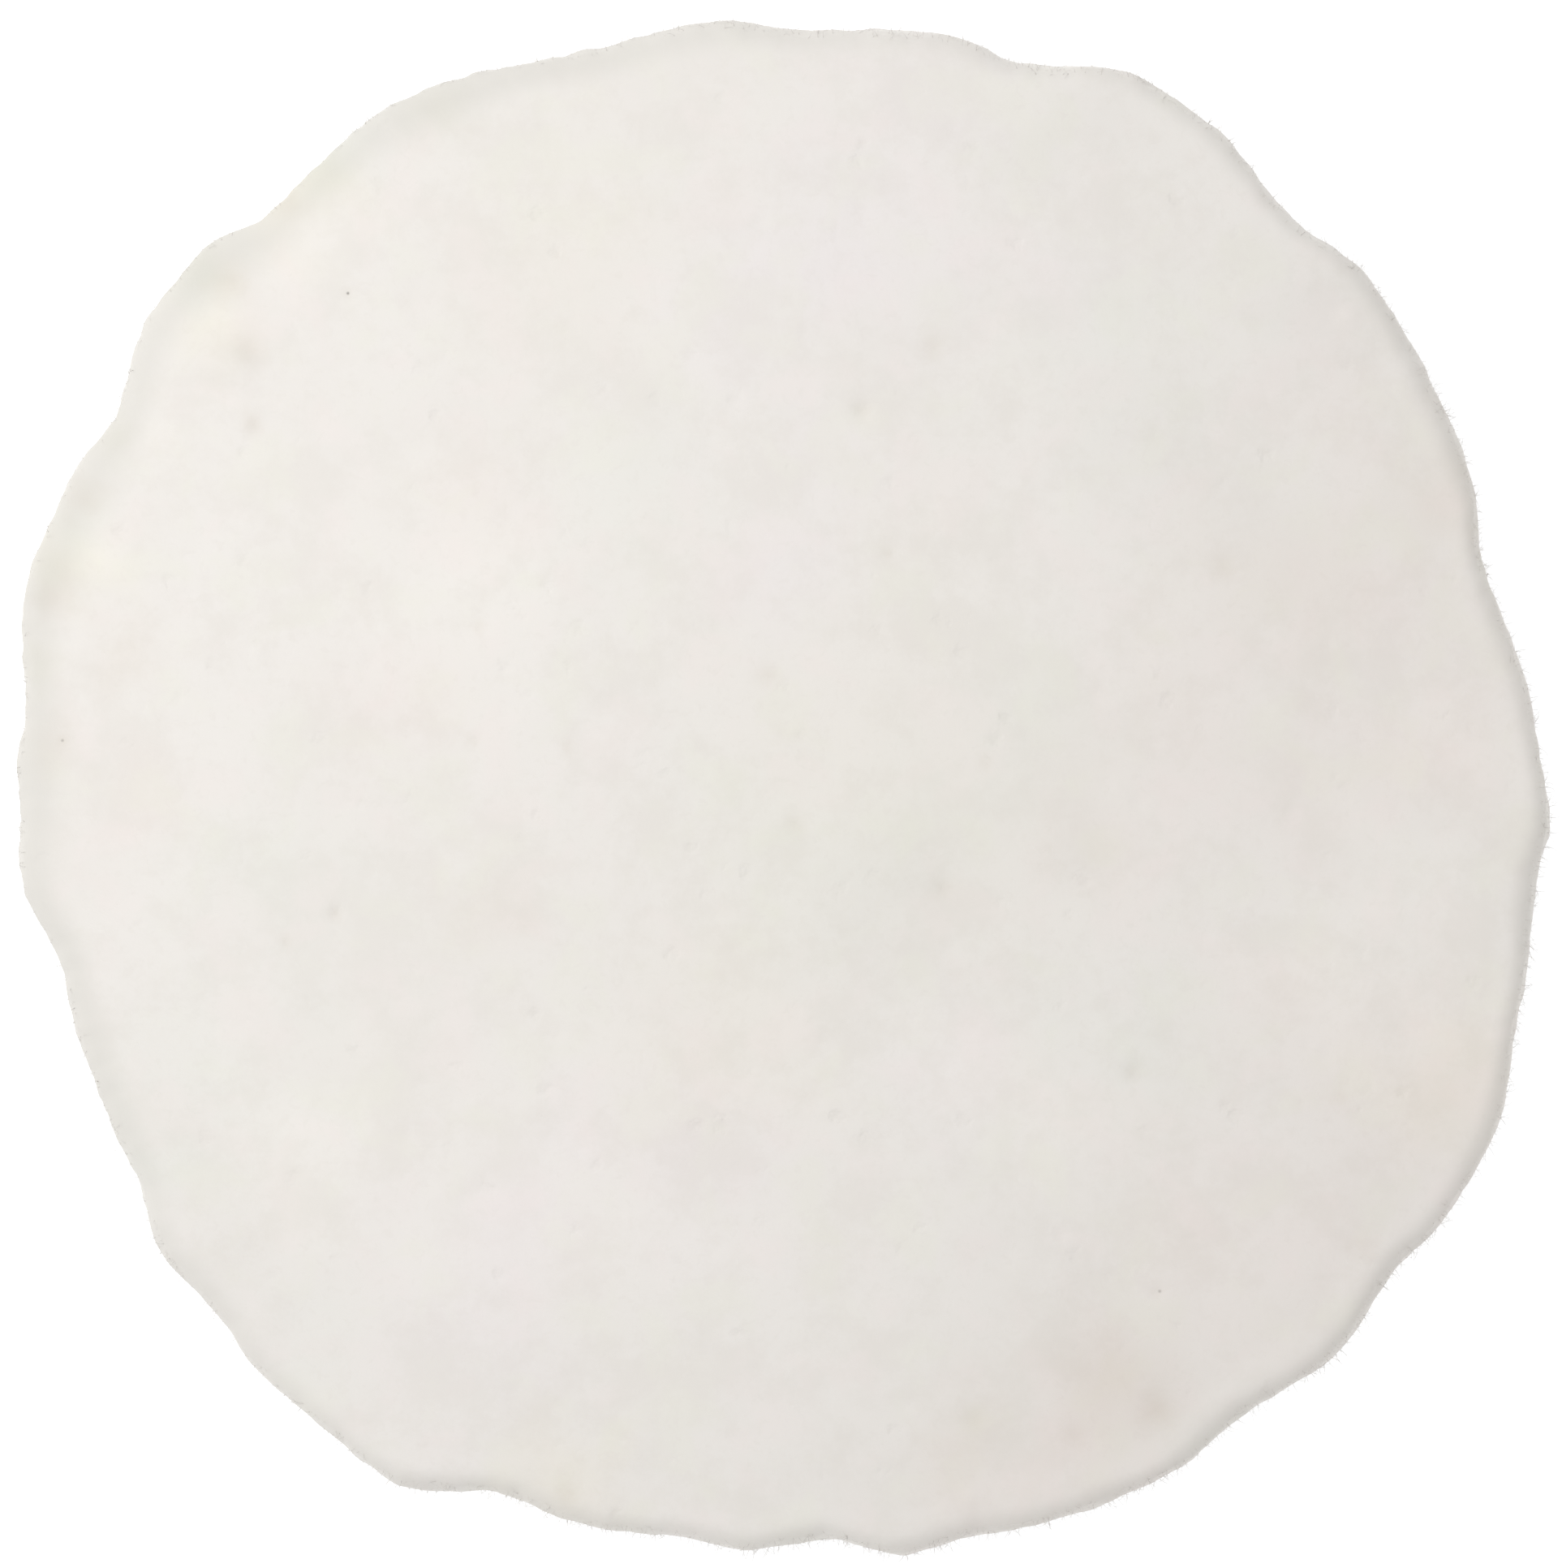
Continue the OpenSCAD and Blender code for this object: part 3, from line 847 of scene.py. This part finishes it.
def makeLoop(tall):  # one loop of yarn, hanging from the origin
    wide = loopCloth["loopWidth"] * mm
    yarn = loopCloth["yarn"] * mm
    around, across = loopCloth["loopSegments"]
    deselectAll()
    bpy.ops.mesh.primitive_torus_add(
        major_segments=around, minor_segments=across, major_radius=wide / 2, minor_radius=yarn / 2,
        rotation=(math.pi / 2, 0, 0),
    )
    loop = bpy.context.object
    placeInMesh(loop)
    edit(loop)
    bpy.ops.mesh.select_all(action="SELECT")
    bpy.ops.mesh.bisect(plane_co=(0, 0, 0), plane_no=(0, 0, 1), clear_outer=True, use_fill=True)
    bpy.ops.mesh.select_all(action="SELECT")
    drop = tall / (wide / 2 + yarn / 2)
    bpy.ops.transform.resize(value=(1, 1, drop), center_override=(0, 0, 0))
    neck, narrow = loopCloth["neck"]
    pick(loop, "VERT", lambda at: at.z > -neck * tall)
    bpy.ops.transform.resize(value=(narrow, 1, 1), center_override=(0, 0, 0))
    cleanNormals(loop)
    return loop


def turnAtRandom(draw, row):  # gives a turn, a size, and how far out of line in pitches
    turn = draw.uniform(0, 2 * math.pi)
    size = draw.uniform(*loopCloth["sizes"])
    stray = [draw.uniform(-0.5, 0.5) * loopCloth["jitter"] for _ in range(2)]
    return turn, size, stray


def turnByRow(draw, row):  # the same for hooks, which stand in line
    return math.pi * (row % 2), 1, (0, 0)


def scatter(single, pitch, radius, height, turned):  # copies of one small shape over a round face
    draw = random.Random(7)
    places = []
    rows = int(radius / (pitch * mm))
    for row in range(-rows, rows + 1):
        for column in range(-rows - 1, rows + 2):
            turn, size, stray = turned(draw, row)
            x = (column + 0.5 * (row % 2)) * pitch * mm + stray[0] * pitch * mm
            y = row * pitch * mm + stray[1] * pitch * mm
            if math.hypot(x, y) < radius:
                stretch = Matrix.Diagonal((1, 1, size, 1))
                places.append(Matrix.Translation((x, y, height)) @ Matrix.Rotation(turn, 4, "Z") @ stretch)
    return placeCopies(single, places)


makeLoopCloth()


hookSheet = {
    "points": 240,
    "base": 0.5,
    "root": 0.1,  # how deep the hooks start inside it
    "pitch": 2.0,
    "margin": 1.0,
    "sides": 4,
    "stem": 0.17,  # half the stem's width
    "bends": [  # across, up, turn, size
        (0.00, 0.30, 0.0, 0.85), (0.02, 0.26, 0.25, 0.95), (0.10, 0.16, 0.6, 0.9), (0.18, 0.02, 0.9, 0.8),
        (0.14, -0.16, 0.7, 0.65),
    ],
    "colour": (0.05, 0.05, 0.055, 1),
    "finish": (700, 0.02, 0.42),  # grain, bump, roughness
}


def makeHook(tall):  # one moulded hook, standing on the origin
    hook = bentStalk(hookSheet["sides"], hookSheet["stem"], hookSheet["bends"])
    points = readPoints(hook)
    points[:, 2] *= tall / points[:, 2].max()
    writePoints(hook, points)
    return hook


def makeHookSheet():
    low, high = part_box("hook_sheet")
    top = low.z + hookSheet["base"] * mm
    base = flatBlank(hookSheet["points"], high.x, low.z, top)
    bpy.ops.object.shade_smooth_by_angle(angle=smoothAngle)
    root = top - hookSheet["root"] * mm
    hook = makeHook(high.z - root)
    hooks = scatter(hook, hookSheet["pitch"], high.x - hookSheet["margin"] * mm, root, turnByRow)
    deselectAll()
    hooks.select_set(True)
    base.select_set(True)
    bpy.context.view_layer.objects.active = base
    bpy.ops.object.join()
    nylon = looseMaterial("mouldedNylon", hookSheet["colour"], *hookSheet["finish"])
    finishPiece(base, "moulded_hook_sheet", "head", "hook_nylon", nylon, "hook_sheet")


makeHookSheet()


sponge = {
    "points": 240,
    "radius": 71,
    "sideDrops": [1, 2, 3, 4, 5, 6, 7],
    "insets": [1.2, 4.2],
    "backInsets": [1.2, 4.2],
    "span": 60,
    "backSpan": 60,
    "frames": 20,
    "quality": 6,
    "mass": 0.2,
    "pressure": 4000,  # its small springs are stiff, so it takes a lot
    "bulge": 0.7,  # the free edge may swell out this far
    "torn": (0.08, 2.4, 51),  # how uneven the cut is: out, width, draw
    "cornerFade": 1,
}

spongeLook = {
    "fixed": {"Specular IOR Level": 0.35},
    "colour": (0.075, 0.075, 0.08, 1),
    # painted shade in the sunken pores
    "poreShade": (0.025, 0.025, 0.027, 1),
    "pores": [  # spacing, floor and rim as shares of it, how much they show
        (0.9, (0.12, 0.4), 0.7), (0.38, (0.1, 0.35), 0.5),
    ],
    "dust": (240, 3.0, 0.6),
    "bump": 0.22,
    "roughness": (0.72, 0.2),  # least, and what the dust adds
}


def spongeMaterial():
    look = spongeLook
    graph = newMaterial("closedCellSponge", **look["fixed"])
    coarse, fine = [
        (1 - graph.cells(1 / (spacing * mm)).eased(*edge)) * shows for spacing, edge, shows in look["pores"]
    ]
    openCells = coarse + fine
    # the sunken pores are painted darker, a painted shade
    colour = graph.mixed(openCells, look["colour"], look["poreShade"])
    normal = graph.bump(0 - openCells, look["bump"] * mm)
    least, more = look["roughness"]
    return graph.give(colour=colour, roughness=least + more * graph.noise(*look["dust"]), normal=normal)


def swell(piece, low, high):  # its glued faces hold still, and air presses the free edge out
    rest = readPoints(piece)
    glued = piece.vertex_groups.new(name="glued")
    onGlue = (rest[:, 2] < low + levelGap) | (rest[:, 2] > high - levelGap)
    held = [int(i) for i in np.flatnonzero(onGlue)]
    glued.add(held, 1, "REPLACE")
    makeActive(piece)
    modifier = piece.modifiers.new("Cloth", "CLOTH")
    cloth = modifier.settings
    cloth.vertex_group_mass = "glued"
    cloth.quality = sponge["quality"]
    cloth.mass = sponge["mass"]
    cloth.use_pressure = True
    cloth.uniform_pressure_force = sponge["pressure"]
    cloth.effector_weights.gravity = 0
    modifier.point_cache.frame_start = 1
    modifier.point_cache.frame_end = sponge["frames"]
    for step in range(1, sponge["frames"] + 1):
        bpy.context.scene.frame_set(step)
    bpy.ops.object.modifier_apply(modifier=modifier.name)
    bpy.context.scene.frame_set(1)
    moved = readPoints(piece) - rest
    length = np.linalg.norm(moved, axis=1, keepdims=True)
    limit = sponge["bulge"] * mm
    writePoints(piece, rest + moved * limit / np.maximum(length, limit))
    piece.vertex_groups.clear()
    print("sponge edge swelled by", round(float(length.max()) / mm, 2), "mm at most before the cap")


def makeSponge():
    low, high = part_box("cushion")
    deselectAll()
    piece = roundBlank(sponge, low.z, high.z)
    swell(piece, low.z, high.z)
    applyModifier(piece, "SUBSURF", levels=1, render_levels=1)
    points = readPoints(piece)
    angle = np.arctan2(points[:, 1], points[:, 0])
    fade = sponge["cornerFade"] * mm
    free = ease(points[:, 2], low.z, low.z + fade) * ease(points[:, 2], high.z, high.z - fade)
    out, width, draw = sponge["torn"]
    torn = out * mm * ripples(angle * high.x / mm, points[:, 2] / mm, width, draw) * free
    points[:, 0] += torn * np.cos(angle)
    points[:, 1] += torn * np.sin(angle)
    points[:, 2] = np.clip(points[:, 2], low.z, high.z)
    writePoints(piece, points)
    makeActive(piece)
    bpy.ops.object.shade_smooth()
    finishPiece(piece, "sponge_cushion", "head", "sponge", spongeMaterial(), "cushion")


makeSponge()


ringGap = 0.01  # a point this close to a ring's radius belongs to it, in mm

capScrew = {
    "sides": 72,
    "hexagon": 4.0,  # across the flats of its socket
    "socket": (2.2, 3),  # the radius of the rings that become the hexagon, and what they lie below
    "bite": 0.2,  # depth of the knurling
    "rings": [  # height from the head's end, radius: socket, head and shank
        (2.9, 0.8), (2.5, 2.2), (0.25, 2.2), (0, 2.6), (0, 3.55), (0.15, 3.85), (0.5, 4.15), (0.75, 4.2),
        (0.8, 4.25), (4.35, 4.25), (4.4, 4.2), (4.85, 4.2), (5, 4.05), (5, 2.5), (16.4, 2.5), (17, 1.9),
    ],
    "knurled": (0.78, 4.37),
    "shank": 4,  # what is wider than this is knurled
    "smoothAngle": 0.5,
    "turns": (0.3, 1.1, 0.7, 1.9),
}

setScrew = {
    "sides": 48,
    "hexagon": 3.0,
    "socket": 3.4,
    "socketRadius": 1.6,  # of the rings that become the hexagon
    "mouth": (1.9, 0.2),  # radius and depth of the socket's bevel
    "drillPoint": 0.5,
    "length": 6.8,
    "plainEnd": 0.1,
    "radius": 3.0,
    "pitch": 1.0,
    "threadDepth": 0.5,
    "flank": 0.42,  # half a groove's width, in pitches
    "taper": 0.6,  # over which the thread runs out at both ends
    "ringsPerPitch": 8,
    "tipHole": (1.35, 1.55),  # radius and depth, for the soft tip's stem
}


def lathe(sides, rings):  # one closed shape through rings of height and radius
    deselectAll()
    height, radius = rings[0]
    bpy.ops.mesh.primitive_circle_add(
        vertices=sides, radius=radius * mm, fill_type="NGON", location=(0, 0, height * mm)
    )
    piece = bpy.context.object
    placeInMesh(piece)
    edit(piece)
    pick(piece, "EDGE", lambda at: True)
    for nextHeight, nextRadius in rings[1:]:
        rise = (nextHeight - height) * mm
        bpy.ops.mesh.extrude_edges_move(TRANSFORM_OT_translate={"value": (0, 0, rise)})
        factor = nextRadius / radius
        bpy.ops.transform.resize(value=(factor, factor, 1), center_override=(0, 0, 0))
        height, radius = nextHeight, nextRadius
    bpy.ops.mesh.edge_face_add()
    cleanNormals(piece)
    return piece


def hexagonAt(angle, across):  # the radius of a hexagon's outline
    return across / 2 / np.cos((angle + math.pi / 6) % (math.pi / 3) - math.pi / 6)


def readRings(piece):  # its points, and their angles, radii and heights in mm
    points = readPoints(piece)
    angle = np.arctan2(points[:, 1], points[:, 0])
    return points, angle, np.hypot(points[:, 0], points[:, 1]) / mm, points[:, 2] / mm


def writeRings(piece, points, angle, radius):
    points[:, 0] = radius * np.cos(angle) * mm
    points[:, 1] = radius * np.sin(angle) * mm
    writePoints(piece, points)


def makeCapScrews(material):
    master = lathe(capScrew["sides"], capScrew["rings"])
    points, angle, radius, z = readRings(master)
    socketRadius, socketTop = capScrew["socket"]
    socket = (np.abs(radius - socketRadius) < ringGap) & (z < socketTop)
    radius = np.where(socket, hexagonAt(angle, capScrew["hexagon"]), radius)
    step = np.round(angle / (2 * math.pi / capScrew["sides"])).astype(int) % 2
    low, high = capScrew["knurled"]
    radius = radius - capScrew["bite"] * step * ((z > low) & (z < high) & (radius > capScrew["shank"]))
    writeRings(master, points, angle, radius)
    bpy.ops.object.shade_smooth_by_angle(angle=capScrew["smoothAngle"])
    for number, turn in enumerate(capScrew["turns"], 1):
        node = "hub_screw_%d" % number
        low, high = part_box(node)
        screw = copyOf(master, ((low.x + high.x) / 2, (low.y + high.y) / 2, low.z), (0, 0, turn))
        finishPiece(screw, "cap_screw_%d" % number, "head", "black_steel", material, node)
    bpy.data.objects.remove(master)


def copyOf(master, location, rotation):
    makeActive(master)
    bpy.ops.object.duplicate(linked=False)
    copy = bpy.context.object
    copy.location = location
    copy.rotation_euler = rotation
    return copy


def setScrewRings():
    length, radius = setScrew["length"], setScrew["radius"]
    root = radius - setScrew["threadDepth"]
    holeRadius, holeDepth = setScrew["tipHole"]
    socketRadius = setScrew["socketRadius"]
    mouthRadius, mouthDepth = setScrew["mouth"]
    floor = length - setScrew["socket"]
    point = setScrew["drillPoint"]
    rings = [(floor - point, point), (floor, socketRadius), (length - mouthDepth, socketRadius)]
    rings += [(length, mouthRadius), (length, root)]
    threaded = length - 2 * setScrew["plainEnd"]
    count = round(setScrew["ringsPerPitch"] * threaded / setScrew["pitch"])
    top = length - setScrew["plainEnd"]
    rings += [(top - threaded * i / count, radius) for i in range(count + 1)]
    return rings + [(0, root), (0, holeRadius), (holeDepth, holeRadius)]


def makeSetScrews(material):
    length = setScrew["length"]
    master = lathe(setScrew["sides"], setScrewRings())
    points, angle, reach, z = readRings(master)
    phase = (z / setScrew["pitch"] - angle / (2 * math.pi)) % 1
    groove = np.clip(1 - np.abs(phase - 0.5) / setScrew["flank"], 0, 1)
    taper = np.clip(1 - np.minimum(z, length - z) / setScrew["taper"], 0, 1)
    threaded = reach > setScrew["radius"] - ringGap
    thread = setScrew["radius"] - setScrew["threadDepth"] * np.maximum(groove, taper)
    reach = np.where(threaded, thread, reach)
    floor = length - setScrew["socket"]
    socket = (np.abs(reach - setScrew["socketRadius"]) < ringGap) & (z > floor - ringGap)
    reach = np.where(socket, hexagonAt(angle, setScrew["hexagon"]), reach)
    writeRings(master, points, angle, reach)
    bpy.ops.object.shade_smooth_by_angle(angle=smoothAngle)
    low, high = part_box("set_screw_1")
    middleHeight = (low.z + high.z) / 2
    for number in (1, 2):
        quarter = (number - 1) * math.pi / 2
        place = (low.x * math.cos(quarter), low.x * math.sin(quarter), middleHeight)
        screw = copyOf(master, place, (0, math.pi / 2, quarter))
        body = "set_screw_%d" % number
        finishPiece(screw, "threaded_set_screw_%d" % number, body, "black_steel", material, body)
    bpy.data.objects.remove(master)


looseFinishes = {  # colour, grain, bump, roughness
    "filmTape": ((0.72, 0.64, 0.44, 1), 600, 0.01, 0.45),
    "meltWeb": ((0.80, 0.79, 0.74, 1), 900, 0.02, 0.5),
}

turnedFinishes = {  # colour, roughness, grooves, bump
    "turnedAluminium": ((0.45, 0.455, 0.46, 1), 0.30, 3000, 0.022),
    "zincPlate": ((0.42, 0.43, 0.455, 1), 0.26, 2500, 0.024),
    "springSteel": ((0.45, 0.46, 0.47, 1), 0.33, 3000, 0.012),
    "turnedBrass": ((0.78, 0.60, 0.28, 1), 0.30, 4500, 0.012),
}

nodeFinishes = {
    "filmTape": ["hook_tape", "cushion_tape"],
    "meltWeb": ["felt_web"],
    "turnedAluminium": ["backing_plate"],
    "zincPlate": ["hub"],
    "springSteel": ["spring_washer_%d" % number for number in range(1, 5)],
    "turnedBrass": ["set_screw_tip_%d" % number for number in (1, 2)],
}


def dressNodes():
    materials = {name: looseMaterial(name, *look) for name, look in looseFinishes.items()}
    materials.update({name: turnedMaterial(name, *look) for name, look in turnedFinishes.items()})
    for finish, names in nodeFinishes.items():
        for name in names:
            nodes[name].data.materials.clear()
            nodes[name].data.materials.append(materials[finish])
    print("dressed", sum(map(len, nodeFinishes.values())), "parts")


blackOxide = looseMaterial("blackOxide", (0.03, 0.03, 0.033, 1), 1400, 0.008, 0.38, Metallic=0.85)
makeCapScrews(blackOxide)
makeSetScrews(blackOxide)
dressNodes()

studio = {
    "floorSize": 6,
    "floorDrop": 0.2,  # just clear of the hub's end face
    "floorColour": (0.9, 0.9, 0.9, 1),
    "floorRoughness": 0.9,
    "floorGlow": 0.62,
    "skyStrength": 0.61,
    "horizonStrength": 1.0,
    "horizonFade": (0.03, 0.25),  # the height, as a sine, over which the horizon turns into sky
    "white": (1, 1, 1, 1),
    "keyPlace": (-0.172, 0.098, 0.40),
    "keySize": 0.24,
    "keyPower": 0.835,
    "lens": 200,
    "sensor": 36,
    "viewHeight": 154.7,  # what the camera sees from top to bottom, at the felt's edge
    "edgeDrop": 2.5,  # the felt's edge is widest this far below its face
    "centre": (-0.28, 0.32),
}


def makeFloor():
    deselectAll()
    bpy.ops.mesh.primitive_plane_add(size=studio["floorSize"], location=(0, 0, -studio["floorDrop"] * mm))
    floor = bpy.context.object
    floor.name = "studio_floor"
    look = {
        "Base Color": studio["floorColour"],
        "Roughness": studio["floorRoughness"],
        "Emission Color": studio["white"],
        "Emission Strength": studio["floorGlow"],
    }
    floor.data.materials.append(newMaterial("paleFloor", **look).owner)


def makeSky():
    sky = Graph(bpy.data.worlds.new("softWhite"), "Background", "Generated", Color=studio["white"])
    height = sky.axes()[2].eased(*studio["horizonFade"])
    glow = studio["horizonStrength"] - (studio["horizonStrength"] - studio["skyStrength"]) * height
    bpy.context.scene.world = sky.give(strength=glow)


def makeKeyLight(face):
    place = Vector(studio["keyPlace"])
    aim = (Vector((0, 0, face)) - place).to_track_quat("-Z", "Y").to_euler()
    bpy.ops.object.light_add(type="AREA", location=place, rotation=aim)
    key = bpy.context.object
    key.data.shape = "SQUARE"
    key.data.size = studio["keySize"]
    key.data.energy = studio["keyPower"]


def makeCamera(face):
    edge = face - studio["edgeDrop"] * mm
    distance = studio["viewHeight"] * mm * studio["lens"] / studio["sensor"]
    across, up = (value * mm for value in studio["centre"])
    bpy.ops.object.camera_add(location=(across, up, edge + distance), rotation=(0, 0, 0))
    camera = bpy.context.object
    camera.data.lens = studio["lens"]
    camera.data.sensor_width = studio["sensor"]
    bpy.context.scene.camera = camera
    print("studio ready, camera", round(distance, 3), "m over the felt's edge")


def makeStudio():
    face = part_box("felt_disc")[1].z
    makeFloor()
    makeSky()
    makeKeyLight(face)
    makeCamera(face)
    bpy.context.scene.view_settings.view_transform = "Standard"


makeStudio()
